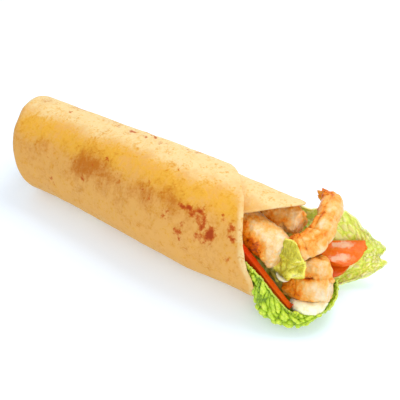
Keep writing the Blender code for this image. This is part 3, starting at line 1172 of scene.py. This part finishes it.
@dataclass
class Lettuce:
    """The green leaf under the front, the pale one at the back, a piece between and the heart."""

    roll: RollShape
    # Each leaf's blister colour is a painted highlight and its crease colour is painted shade.
    green: LeafFinish = LeafFinish(
        "green_leaf", painted_highlight=shade(212, 230, 72), body=shade(172, 202, 36), crease=shade(84, 118, 6),
        heart=shade(226, 228, 140), rim=shade(206, 220, 96))
    pale: LeafFinish = LeafFinish(
        "pale_leaf", painted_highlight=shade(252, 255, 178), body=shade(238, 252, 116), crease=shade(188, 220, 48),
        heart=shade(236, 252, 140), rim=shade(250, 250, 180), painted_crease_shade=0.5)
    inner: LeafFinish = LeafFinish(
        "heart_leaf", painted_highlight=shade(250, 244, 150), body=shade(232, 222, 76), crease=shade(170, 156, 22),
        heart=shade(240, 232, 160), rim=shade(246, 238, 110))
    shreds: int = 64
    shred_seed: int = 5
    lowest_shred: float = 4.5

    def _lining(self, x: float, angles: Sequence[float], reach: float) -> list[Vector]:
        """Row of points against the inside of the roll."""
        return [self.roll.point(x, angle, reach) for angle in angles]

    def build(self) -> None:
        """Model and dress all the lettuce."""
        pale = self.pale.material()
        inner = self.inner.material()
        front_angles = (-20, 12, 45, 76, 104)
        mouth_angles = (-20, 12, 45, 74, 98)
        front = (
            self._lining(-34, front_angles, 24.2), self._lining(-12, front_angles, 24.6),
            self._lining(9, front_angles, 25.6), self._lining(19.5, mouth_angles, 26.4),
            ((30, 10, 2.4), (29, -9, 1.8), (26.5, -26.5, 4.5), (24.5, -34, 16), (25, -27, 29.5)),
            ((38, 10.5, 1.6), (38.5, -8, 1.6), (37, -25, 1.6), (36, -35, 6), (34.5, -27.5, 21)),
            ((47, 9.5, 2), (50, -6, 2), (52, -17, 2.6), (51.5, -28, 4), (43, -26.5, 13)),
            ((52, 8, 13), (57.5, 2, 14.5), (60, -11, 12.5), (56, -20, 11.5), (45, -23.5, 12.5)),
        )
        Leaf(
            "green_front_leaf", "lettuce_front", Slot.GREEN_LEAF, front, width=66, length=108,
            cell=5.0, blister=2.2, ruffle=0.8, seed=1, stretch=1.4,
            heart=lambda across, run: 0.9 * (1 - smooth_step((run - 0.1) / 0.4)),
        ).build(self.green.material())
        back_angles = (-36, -62, -88, -112, -131)
        back = (
            self._lining(-34, back_angles, 22.9), self._lining(-8, back_angles, 22.9),
            self._lining(15, back_angles, 22.9), self._lining(26, back_angles, 22.2),
            ((38, 13, 2.5), (39, 24, 8), (40, 30, 18), (39, 31.5, 30), (37.6, 31, 42.9)),
            ((49, 13, 3), (52, 24, 5), (53, 34, 11), (52, 37, 22), (48.2, 32.7, 37.6)),
            ((54.9, 19.5, 4.7), (61, 25, 6), (63, 35, 11), (60, 39.5, 18), (56.2, 36, 25.8)),
            ((60, 25.2, 5.9), (73.1, 36.9, 16.3), (60.2, 34.1, 12.8), (68.4, 39, 20.6),
             (58.2, 38.4, 21.6)),
        )
        rib_line = ((0.0, 0.655), (0.25, 0.68), (0.4, 0.705), (0.6, 0.6), (0.8, 0.5))
        Leaf(
            "pale_back_leaf", "lettuce_back", Slot.PALE_LEAF, back, width=56, length=108,
            cell=4.4, blister=1.0, ruffle=1.4, seed=2, turned=2.0, stretch=1.1,
            rib=lambda across, run: 1.2 * hill(run - eased_value(rib_line, across), 0.026),
            heart=lambda across, run: 0.45 * smooth_step((across - 0.55) / 0.25),
        ).build(pale)
        centre = (
            ((26, -11, 22.5), (33, -10, 20.5), (37, -14, 21.5), (43, -12.5, 27)),
            ((26.5, -19, 27), (32, -15, 27.5), (37.5, -24, 26.5), (45, -16.5, 32)),
            ((28, -9, 32), (33, -15, 32.5), (37, -11, 34), (44, -14, 37)),
            ((28, -15, 37), (33, -13, 39), (37, -20, 39.5), (42, -15, 41)),
            ((29.5, -10, 44.5), (31.5, -12, 46.5), (35, -10.5, 46), (38, -12.5, 44)),
        )
        Leaf(
            "leaf_scrap", "lettuce_centre", Slot.PALE_LEAF, centre, width=15, length=22,
            cell=5.4, blister=2.4, ruffle=2.6, seed=3, stretch=1.0, columns=76, rows=100,
            free_start=True,
        ).build(inner)
        self._build_heart(inner)

    def _build_heart(self, material: bpy.types.Material) -> None:
        """Shredded lettuce that fills the roll: a body of packed leaf and loose shreds.

        Args:
            material: its finish.
        """
        form = Form(("swell", "rim", "heart", "rib"))
        stations = (
            (-137, 6.8, 25.3, 18.5, 18.5), (-106, 6, 26.0, 20.2, 20.2), (-74, 3.2, 27.1, 21.4, 21.4),
            (-46, 0.8, 28, 20.8, 20.8), (-22, 0, 27.6, 20, 20), (-8, 1, 20, 13, 13),
            (12, 1, 15.5, 9.5, 9.5), (31, -2, 8, 4.3, 4.3),
        )
        body = Body(stations, (0, 1, 0))

        def packed(share: float, turn: float) -> tuple[Vector, Marks]:
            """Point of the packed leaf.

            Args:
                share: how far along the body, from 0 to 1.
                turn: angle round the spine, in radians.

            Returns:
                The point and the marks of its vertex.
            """
            place, out = body.surface(share, turn)
            swell = smooth_step(cells(place / 5) / 0.5)
            height = 1.4 * (swell - 0.5) + 1.2 * grain(place, 9)
            return place + out * height, {"swell": swell, "heart": 0.3}

        form.add_ball(72, 120, packed)
        draw = random.Random(self.shred_seed)
        for _ in range(self.shreds):
            self._add_shred(form, draw)
        piece = form.to_object("lettuce_shreds", material)
        settle(piece, Slot.HEART, "lettuce_core")

    def _add_shred(self, form: Form, draw: random.Random) -> None:
        """One curled ribbon of lettuce near the mouth of the roll.

        Args:
            form: the mesh that takes it.
            draw: where its random sizes come from.
        """
        start = Vector((draw.uniform(-6, 29), draw.uniform(-8, 14), draw.uniform(5, 24)))
        heading = Vector((draw.uniform(0.2, 1), draw.uniform(-0.7, 0.7), draw.uniform(-0.5, 0.35)))
        length = draw.uniform(9, 17)
        bow = Vector((0, draw.uniform(-4, 4), draw.uniform(-3, 3)))
        end = start + heading.normalized() * length
        stations = []
        for step in range(4):
            share = step / 3
            at = start.lerp(end, share) + bow * (4 * share * (1 - share))
            at.z = max(at.z, self.lowest_shred)
            stations.append((*at, draw.uniform(1.3, 2.4), 0.45))
        body = Body(stations, (0, draw.uniform(0.3, 1), draw.uniform(-1, 1)), closing=(0.1, 0.1))
        heart = draw.uniform(0.0, 0.9)

        def ribbon(share: float, turn: float) -> tuple[Vector, Marks]:
            """Point of the ribbon and its marks."""
            place, out = body.surface(share, turn)
            return place + out * (0.25 * grain(place, 2.2)), {
                "swell": 0.5 + 0.5 * grain(place, 2.5), "heart": heart, "rim": 0.2}

        form.add_ball(12, 16, ribbon)


# ---------------------------------------------------------------- bodies along a spine


@dataclass(frozen=True)
class Body:
    """Round body along a spine.

    Each station is (x, y, z, half width, half height), with the width along side. The ends close
    over the two shares of the length in closing. Square and blunt are the powers of the section's and
    the ends' corners, and step is how far apart the points are that give the spine's direction.
    """

    stations: Sequence[Row]
    side: Row
    closing: tuple[float, float] = (0.12, 0.12)
    square: float = 2.0
    blunt: float = 2.0
    step: float = 0.02

    def frame(self, share: float) -> tuple[Vector, Vector, Vector, float, float]:
        """Place, directions and size of the section.

        Args:
            share: how far along the body, from 0 to 1.

        Returns:
            Spine point, outward and upward directions, half width and half height.
        """
        x, y, z, half_width, half_height = along(self.stations, share)
        ahead = Vector(along(self.stations, share + self.step)[:3])
        behind = Vector(along(self.stations, share - self.step)[:3])
        tangent = (ahead - behind).normalized()
        upward = tangent.cross(Vector(self.side)).normalized()
        return Vector((x, y, z)), upward.cross(tangent).normalized(), upward, half_width, half_height

    def surface(self, share: float, turn: float) -> tuple[Vector, Vector]:
        """Point of the body and the direction out of it.

        Args:
            share: how far along the body, from 0 to 1.
            turn: angle round the spine, in radians.

        Returns:
            The point and the unit vector away from the spine.
        """
        middle, outward, upward, half_width, half_height = self.frame(share)
        start, end = self.closing
        from_end = min(share / start, (1 - share) / end, 1.0)
        closed = max(0.0, 1 - (1 - from_end) ** self.blunt) ** (1 / self.blunt)
        cosine, sine = math.cos(turn), math.sin(turn)
        power = self.square
        round_off = (abs(cosine) ** power + abs(sine) ** power) ** (-1 / power)
        offset = outward * (half_width * cosine) + upward * (half_height * sine)
        offset *= closed * round_off
        away = outward * cosine + upward * sine
        return middle + offset, away.normalized()


@dataclass(frozen=True)
class Patch:
    """A round patch of a surface that is darker, or lighter where its change is below 0."""

    x: float
    y: float
    z: float
    radius: float
    change: float

    def at(self, place: Vector) -> float:
        """Its change at a place."""
        return self.change * hill((place - Vector((self.x, self.y, self.z))).length, self.radius)


@dataclass(frozen=True)
class Cut:
    """A flat cut face: nothing of the body stands past it, and its edge is soft."""

    at: Row
    way: Row
    edge: float = 2.0

    def press(self, place: Vector) -> tuple[Vector, float]:
        """Bring a point back to the cut.

        Args:
            place: the point.

        Returns:
            Where it ends up, and how surely it lies on the cut, from 0 to 1.
        """
        way = Vector(self.way).normalized()
        past = (place - Vector(self.at)).dot(way)
        if past < -4 * self.edge:
            return place, 0.0
        kept = -self.edge * math.log(1 + math.exp(-past / self.edge))
        return place + way * (kept - past), smooth_step((past + self.edge) / (2 * self.edge))


@dataclass
class Shrimp:
    """A piece of grilled shrimp along its spine, with its segments and seared patches.

    Tone runs from 0 for cream to 1 for seared, and crease is how much darker a groove is. Step is how
    far a segment's front edge stands out. Bulk, lump and strand are the heights of its broad, small
    and lengthwise unevenness, and ragged that of its torn ends. Pale patches swell by pale_bulge.
    Edges are the shares at which segments meet, and curl is the middle of a whole shrimp's curl.
    """

    name: str
    node: str
    body: Body
    tone: float
    patches: tuple[Patch, ...]
    cuts: tuple[Cut, ...] = ()
    segments: float = 3.0
    edges: tuple[float, ...] = ()
    crease: float = 0.16
    step: float = 0.5
    bulk: float = 0.9
    lump: float = 0.9
    strand: float = 0.6
    ragged: float = 1.2
    pale_bulge: float = 3.2
    seed: float = 0.0
    sides: int = 110
    rings: int = 150
    curl: tuple[float, float, float] | None = None

    def build(self, material: bpy.types.Material) -> None:
        """Model and dress the shrimp.

        Args:
            material: its finish.
        """
        form = Form(("tone",))
        form.add_ball(self.sides, self.rings, self._place)
        piece = form.to_object(self.name, material)
        settle(piece, Slot.SHRIMP, self.node)

    def _phase(self, share: float) -> float:
        """How far along its segment a point lies.

        Args:
            share: how far along the body, from 0 to 1.

        Returns:
            The share of the segment, from 0 to 1.
        """
        for low, high in zip(self.edges, self.edges[1:]):
            if low <= share < high:
                return (share - low) / (high - low)
        return (share * self.segments) % 1.0

    def _place(self, share: float, turn: float) -> tuple[Vector, Marks]:
        """Point of the shrimp and its tone.

        Args:
            share: how far along the body, from 0 to 1.
            turn: angle round the spine, in radians.

        Returns:
            The point, and its tone from 0 for cream to 1 for seared.
        """
        place, out = self.body.surface(share, turn)
        wander = 0.05 * math.sin(2 * turn + self.seed) + 0.03 * math.sin(3 * turn)
        phase = self._phase(share + wander / self.segments)
        shell = smooth_step(phase / 0.16) * (1 - 0.6 * phase)
        height = self.step * (shell - 0.45)
        height += self.bulk * grain(place, 9.5, self.seed + 1)
        strand = noise.noise(Vector((
            2.6 * math.cos(turn) + self.seed, 2.6 * math.sin(turn), 2.2 * share)))
        height += self.strand * strand
        height += self.lump * (grain(place, 4.6, 2) + 0.45 * grain(place, 1.9, 4))
        near_end = 1 - smooth_step(min(share, 1 - share) / 0.14)
        height += self.ragged * near_end * grain(place, 1.8, 8)
        groove = 1 - smooth_step(min(phase, 1 - phase) / 0.09)
        tone = self.tone + self.crease * groove * min(1.0, 2 * self.step) * (0.5 + grain(place, 3, 6))
        change = sum(patch.at(place) for patch in self.patches)
        tone += 0.16 * strand + change
        height -= self.pale_bulge * min(0.0, change)
        if self.curl is not None:
            outer = (place - Vector(self.curl)).normalized().dot(out)
            tone -= 0.12 * smooth_step((outer - 0.45) / 0.25)
            height -= 0.5 * hill(outer - 0.42, 0.12)
            tone += 0.12 * hill(outer - 0.42, 0.10)
        place = place + out * height
        for cut in self.cuts:
            place, on_cut = cut.press(place)
            fibre = 0.5 * grain(place, 3.2, 3) + 0.25 * grain(place, 1.3, 5)
            place += Vector(cut.way).normalized() * (fibre * on_cut)
        return place, {"tone": clamp(tone)}


@dataclass
class ShrimpSet:
    """The five shrimps, of which the one at the back keeps its tail."""

    finish: ShrimpFinish = ShrimpFinish()

    def build(self) -> None:
        """Model and dress the shrimps."""
        material = self.finish.material()
        for shrimp in self._pieces():
            shrimp.build(material)
        self._build_fan(material)

    @staticmethod
    def _pieces() -> tuple[Shrimp, ...]:
        """Shapes, seared patches and cuts.

        Returns:
            The five shrimps.
        """
        left = Body(
            ((-6, -5, 39.5, 8, 8), (4, -7, 40, 9.5, 9), (14, -10, 39.5, 9.6, 9.2),
             (23, -12.5, 38, 9.4, 9.2), (31.5, -15, 35.5, 8.8, 8.7)),
            (0.3, 0.6, 0.75), (0.14, 0.12), square=2.5, blunt=2.8)
        behind = Body(
            ((3, 8, 39.5, 6, 6), (10, 8, 40.5, 6.6, 6.2), (17, 7.5, 41.5, 7, 6.4),
             (24, 7, 42, 7, 6.5), (30, 6, 42.5, 6, 6)),
            (0.2, 0.7, 0.6), (0.14, 0.14), square=2.3, blunt=2.4)
        tail = Body(
            ((32.1, 30.4, 45.3, 4.2, 2.6), (36.6, 27.2, 46.5, 5.4, 4.8),
             (39.1, 20.3, 45.8, 6.0, 6.1), (40.9, 13, 44.9, 6.0, 5.7),
             (41.7, 5.8, 43.2, 6.4, 6.5), (40.6, -1, 41.6, 6.6, 6.8),
             (37.9, -5.8, 40, 6.2, 6.5), (33.6, -7.6, 39, 5.2, 5.6), (31, -7.4, 38.2, 3, 3.2)),
            (0.44, -0.66, 0.62), (0.06, 0.06), square=2.2, blunt=2.4)
        middle = Body(
            ((35, -8.5, 25.5, 3.6, 5), (41, -8, 27.2, 4.8, 6.8), (46.2, -5, 30.2, 4.8, 7.6),
             (49.6, -5, 29.2, 4.6, 6.4), (52.4, -9.4, 24.8, 4.4, 4.6)),
            (0.3, 0.6, 0.75), (0.12, 0.1), square=2.8, blunt=2.6)
        front = Body(
            ((32.5, -13, 14.5, 4.4, 4.2), (39.5, -12.6, 16.9, 6.1, 5.5),
             (47, -12.2, 19.9, 6.4, 6.8), (57.5, -8.5, 23.4, 6.4, 6.8)),
            (0.1, 0.6, 0.75), (0.12, 0.07), square=2.7, blunt=3.4)
        return (
            Shrimp(
                "grilled_shrimp_left", "shrimp_left", left, tone=0.15,
                patches=(
                    Patch(15.5, -21, 40, 6.5, 0.6), Patch(10, -20, 38, 7, 0.45),
                    Patch(19.5, -21, 35.5, 5.5, 0.4), Patch(9, -14.5, 46, 5, 0.3),
                    Patch(3, -12, 46, 8, 0.35), Patch(31, -13, 41, 7, -0.12),
                    Patch(12, -8, 49.5, 3, 0.2),
                ),
                cuts=(
                    Cut((17, -20.4, 40), (0.12, -0.96, 0.22)), Cut((19, -10, 47.3), (0.16, -0.12, 0.98)),
                    Cut((31.4, -14, 37), (0.96, -0.25, -0.05)),
                ),
                segments=2.6, step=0.2, seed=1),
            Shrimp(
                "grilled_shrimp_behind", "shrimp_behind", behind, tone=0.36,
                patches=(
                    Patch(13.5, 2, 45.5, 6.5, 0.08), Patch(19, 2, 45, 4.5, 0.08),
                    Patch(28, 5, 46, 5, -0.18), Patch(28, 1, 42, 5, -0.2), Patch(8, 5, 46, 7, 0.12),
                ),
                cuts=(
                    Cut((22, 2.6, 45.5), (0.05, -0.75, 0.65)),
                ),
                segments=3, step=0.3, bulk=1.6, lump=1.2, ragged=3.0, seed=2),
            Shrimp(
                "grilled_shrimp_tail", "shrimp_tail", tail, tone=0.54,
                patches=(
                    Patch(33, 29.5, 46.5, 5, 0.08), Patch(41.1, 18, 49.7, 7, -0.26),
                    Patch(43.6, 4.7, 48.3, 4.0, -0.36), Patch(48, 5, 41.9, 4.5, -0.26),
                    Patch(46.6, -3.6, 38.9, 4.8, -0.32), Patch(41.4, -11, 36.3, 4.5, -0.26),
                    Patch(45.6, 11.4, 48, 3, 0.08), Patch(33, -6, 45, 3, 0.1),
                    Patch(37.5, -7, 46, 3, -0.1),
                ),
                segments=5, edges=(0, 0.11, 0.375, 0.56, 0.74, 1.01), crease=0.2, step=1.3,
                bulk=0.8, lump=0.5, curl=(31, 9, 41), seed=3),
            Shrimp(
                "grilled_shrimp_middle", "shrimp_middle", middle, tone=0.32,
                patches=(
                    Patch(42.5, -7, 34.5, 2.2, 0.5), Patch(46, -4.5, 35.5, 2.2, 0.55),
                    Patch(49, -1, 36.5, 2.2, 0.5), Patch(38, -11, 29, 4, 0.12),
                ),
                cuts=(
                    Cut((47, -10.4, 30), (0.3, -0.85, 0.4)),
                ),
                segments=2, step=0.2, bulk=1.2, lump=1.0, ragged=3.0, seed=4, sides=90, rings=110),
            Shrimp(
                "grilled_shrimp_front", "shrimp_front", front, tone=0.42,
                patches=(
                    Patch(36, -15, 20, 6, 0.28), Patch(42, -18, 18.5, 4.5, 0.14),
                    Patch(43, -11, 26.6, 2.6, 0.5), Patch(47, -9.5, 27, 2.4, 0.55),
                    Patch(52.5, -15, 23, 7.5, -0.36), Patch(58, -9, 24, 8, -0.34),
                ),
                cuts=(
                    Cut((50, -17.6, 21), (0.1, -0.98, 0.15)), Cut((48, -10, 27), (-0.1, -0.25, 1.0)),
                    Cut((57.6, -9, 23), (0.97, 0.1, 0.1)),
                ),
                segments=2.4, step=0.35, bulk=1.3, lump=0.9, seed=5),
        )

    @staticmethod
    def _build_fan(material: bpy.types.Material) -> None:
        """The tail's thin blades.

        Args:
            material: their finish.
        """
        form = Form(("tone",))
        blades = (
            ((36.5, 27.8, 46, 2.8, 1.4), (31.5, 30, 46, 3.2, 1.1), (26.5, 31.2, 44.6, 2.8, 0.7)),
            ((36.5, 27.6, 45, 2.6, 1.4), (31.5, 29.4, 44.4, 3, 1), (27.5, 30.2, 42.8, 2.6, 0.6)),
            ((36.5, 28, 46.6, 2.4, 1.2), (32, 30.6, 47, 2.8, 0.9), (28, 32.4, 46.4, 2.4, 0.6)),
        )
        for blade in blades:
            body = Body(blade, (0.44, -0.3, 0.8), (0.1, 0.12), blunt=2.6)

            def place(share: float, turn: float, body: Body = body) -> tuple[Vector, Marks]:
                """Point of the blade.

                Args:
                    share: how far along the blade, from 0 to 1.
                    turn: angle round it, in radians.
                    body: the blade's body.

                Returns:
                    The point and its tone.
                """
                point, out = body.surface(share, turn)
                ridge = 0.15 * math.cos(5 * turn) + 0.5 * grain(point, 2.6) * share
                tone = 0.5 + 0.16 * smooth_step((share - 0.75) / 0.25)
                return point + out * ridge, {"tone": tone}

            form.add_ball(32, 30, place)
        settle(form.to_object("shrimp_tail_fan", material), Slot.SHRIMP)


# ---------------------------------------------------------------- tomatoes and dressing


@dataclass
class TomatoSlice:
    """Slice of a tomato, cut straight at a distance chord from its middle.

    Rim_way leads from the middle to the round rim and face_way out of the upper face. Each pocket is
    its middle's x and y and its half sizes. Deep tells how much painted shade darkens a place to dark
    red.
    """

    name: str
    node: str
    radius: float
    thickness: float
    chord: float
    middle: Row
    rim_way: Row
    face_way: Row
    pockets: tuple[Row, ...] = ()
    columns: int = 120
    rows: int = 48
    # Painted shade: how dark red a place is painted where the slice lies in shadow.
    deep: Callable[[Vector], float] = lambda place: 0.0

    def build(self, material: bpy.types.Material) -> None:
        """Model and dress the slice.

        Args:
            material: its finish.
        """
        form = Form(("rim", "pocket", "deep"))
        form.add_grid(self.columns, self.rows, self._place)
        piece = form.to_object(self.name, material)
        add_thickness(piece, self.thickness, -1)
        add_rounding(piece, 0.45)
        settle(piece, Slot.TOMATO, self.node)

    def _pocket(self, x: float, y: float) -> float:
        """How far a point of the face lies in a gel pocket.

        Args:
            x: its place along the straight cut.
            y: its distance from the tomato's middle, towards the rim.

        Returns:
            0 outside the pockets, 1 well inside one.
        """
        inside = 0.0
        for middle_x, middle_y, half_x, half_y in self.pockets:
            reach = math.hypot((x - middle_x) / half_x, (y - middle_y) / half_y)
            reach += 0.35 * grain(Vector((x, y, 0.0)), 3.0)
            inside = max(inside, 1 - smooth_step((reach - 0.35) / 0.95))
        return inside

    def _place(self, across: float, run: float) -> tuple[Vector, Marks]:
        """Point of the slice's upper face and its marks.

        Args:
            across: share along the straight cut.
            run: share from the cut to the rim.

        Returns:
            The point and the marks of its vertex.
        """
        half = math.sqrt(self.radius ** 2 - self.chord ** 2) - 0.02
        x = -half * math.cos(math.pi * across)
        y = self.chord + run * (math.sqrt(self.radius ** 2 - x * x) - self.chord)
        normal = Vector(self.face_way).normalized()
        side = Vector(self.rim_way).cross(normal).normalized()
        rimward = normal.cross(side)
        pocket = self._pocket(x, y)
        flat = Vector((x, y, self.radius))
        height = self.thickness / 2 - 0.7 * pocket * (0.6 + 0.5 * grain(flat, 2.2))
        height += 0.12 * grain(flat, 3.0) * (1 - run ** 6)
        place = Vector(self.middle) + side * x + rimward * y + normal * height
        bow = 0.5 * grain(flat, 16, 2)
        rim = 1 - smooth_step((self.radius - math.hypot(x, y) - 0.25) / 0.5)
        return place + normal * bow, {"rim": rim, "pocket": pocket, "deep": self.deep(place)}


@dataclass
class TomatoSet:
    """One slice along the front of the filling and two on the leaf at the back."""

    finish: TomatoFinish = TomatoFinish()

    def build(self) -> None:
        """Model and dress the slices."""
        material = self.finish.material()
        TomatoSlice(
            "tomato_strip", "tomato_front", radius=42, thickness=3.2, chord=35.5,
            middle=(49.6, -21.4, 53), rim_way=(-0.685, 0, -0.728), face_way=(0.03, -1, 0),
            # Painted shade over the whole strip, darkest towards its left end.
            deep=lambda place: 1 - 0.5 * smooth_step((place.x - 6) / 30),
        ).build(material)
        TomatoSlice(
            "tomato_half_upper", "tomato_back_upper", radius=13, thickness=2.8, chord=-1.2,
            middle=(44.3, 27, 21.3), rim_way=(0.52, -0.79, -0.38), face_way=(0.2, -0.32, 0.93),
            pockets=((-1, 1.2, 6.6, 2.4), (0.6, 9.0, 6.4, 3.0)),
        ).build(material)
        TomatoSlice(
            "tomato_half_lower", "tomato_back_lower", radius=13, thickness=2.8, chord=0.5,
            middle=(39.7, 21.3, 15), rim_way=(0.52, -0.79, -0.38), face_way=(0.2, -0.32, 0.93),
            # Painted shade over the lower half slice, which lies in shadow, lighter towards its right
            # end.
            deep=lambda place: 0.92 - 0.45 * smooth_step((place.x - 38) / 12),
        ).build(material)


@dataclass
class Dressing:
    """Thick dressing between the front shrimp and the leaf, with a dab above it."""

    finish: DressingFinish = DressingFinish()
    pool: tuple[Row, ...] = (
        (38, -16, 10.8, 2.4, 2.6), (43, -17.4, 11, 4.0, 3.7), (47.5, -18, 11.3, 4.8, 3.8),
        (52.4, -15, 12.6, 4.8, 3.8), (56, -9.8, 14.6, 2.8, 2.8),
    )
    smear: tuple[Row, ...] = (
        (28, -14.6, 24, 0.9, 0.7), (30.6, -15.6, 22.5, 1.4, 0.9), (33.4, -15.2, 21.4, 1.3, 0.9),
        (35.6, -14, 21, 0.9, 0.7),
    )

    def build(self) -> None:
        """Model and dress the dressing."""
        form = Form(())
        for stations in (self.pool, self.smear):
            body = Body(stations, (0, 1, 0), (0.25, 0.25))

            def flow(share: float, turn: float, body: Body = body) -> tuple[Vector, Marks]:
                """Point of the dressing."""
                place, out = body.surface(share, turn)
                return place + out * (1.2 * grain(place, 5.6) + 0.35 * grain(place, 2.4, 3)), {}

            form.add_ball(72, 80, flow)
        settle(form.to_object("dressing_pool", self.finish.material()), Slot.DRESSING, "dressing")


# ---------------------------------------------------------------- studio


@dataclass
class Studio:
    """Plain pale floor, soft light and the camera.

    Each of lights is a name, a place, the point that it faces, a size, a power and a colour.
    """

    azimuth: float = 33.7
    elevation: float = 38.0
    eye: Row = (195.3, -336.2, 352.6)
    lens: float = 85.0
    world: Row = (0.95, 0.975, 1.0, 1.0)
    world_strength: float = 0.81
    floor_half: float = 2000.0
    floor_colour: Row = (0.70, 0.80, 0.92, 1.0)
    floor_glow: float = 0.25
    lights: tuple[tuple[str, Row, Row, float, float, Row], ...] = (
        ("key_light", (40, 300, 620), (-40, 0, 20), 420, 2.2, (1.0, 0.985, 0.96)),
        ("fill_light", (420, -400, 330), (20, 0, 20), 420, 1.3, (1.0, 0.98, 0.95)),
    )

    def build(self) -> None:
        """Set everything up."""
        self._build_floor()
        self._build_camera()
        for name, place, aim, size, power, colour in self.lights:
            self._build_light(name, place, aim, size, power, colour)
        scene = bpy.context.scene
        scene.view_settings.view_transform = "Standard"
        world = bpy.data.worlds.new("pale_room")
        world.use_nodes = True
        background = world.node_tree.nodes["Background"]
        background.inputs["Color"].default_value = self.world
        background.inputs["Strength"].default_value = self.world_strength
        scene.world = world

    def _build_floor(self) -> None:
        """A wide white floor."""
        form = Form(())
        half = self.floor_half
        form.add_grid(4, 4, lambda u, v: (Vector((half * (2 * u - 1), half * (2 * v - 1), 0.0)), {}))
        paint = Paint("white_floor", {
            "Roughness": 0.9, "Specular IOR Level": 0.0, "Emission Strength": self.floor_glow,
            "Emission Color": (1.0, 1.0, 1.0, 1.0)})
        paint.colour(self.floor_colour)
        form.to_object("white_floor", paint.material)

    def _build_camera(self) -> None:
        """The camera, from its direction and place."""
        turn, tilt = math.radians(self.azimuth), math.radians(self.elevation)
        right = Vector((math.cos(turn), math.sin(turn), 0.0))
        back = Vector((
            math.sin(turn) * math.cos(tilt), -math.cos(turn) * math.cos(tilt), math.sin(tilt)))
        up = back.cross(right)
        data = bpy.data.cameras.new("camera")
        data.lens = self.lens
        data.clip_start = 0.01
        camera = bpy.data.objects.new("camera", data)
        spot = (Vector(self.eye) - ORIGIN) * MM
        turned = Matrix((right, up, back)).transposed().to_4x4()
        camera.matrix_world = Matrix.Translation(spot) @ turned
        bpy.context.scene.collection.objects.link(camera)
        bpy.context.scene.camera = camera

    @staticmethod
    def _build_light(
        name: str, place: Row, aim: Row, size: float, power: float, colour: Row,
    ) -> None:
        """A square soft light.

        Args:
            name: its name.
            place: where it hangs, in millimetres.
            aim: the point that it faces.
            size: its side, in millimetres.
            power: its power, in watts.
            colour: its colour.
        """
        data = bpy.data.lights.new(name, "AREA")
        data.size = size * MM
        data.energy = power
        data.color = colour
        light = bpy.data.objects.new(name, data)
        spot = (Vector(place) - ORIGIN) * MM
        heading = Vector(aim) - Vector(place)
        aimed = heading.to_track_quat("-Z", "Y").to_matrix().to_4x4()
        light.matrix_world = Matrix.Translation(spot) @ aimed
        bpy.context.scene.collection.objects.link(light)


def main() -> None:
    """Build the wrap round its frame."""
    logging.basicConfig(level=logging.INFO, format="%(name)s: %(message)s")
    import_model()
    noise.seed_set(NOISE_SEED)
    roll = RollShape()
    Tortilla(roll).build()
    Lettuce(roll).build()
    TomatoSet().build()
    ShrimpSet().build()
    Dressing().build()
    Studio().build()


if __name__ == "__main__":
    main()
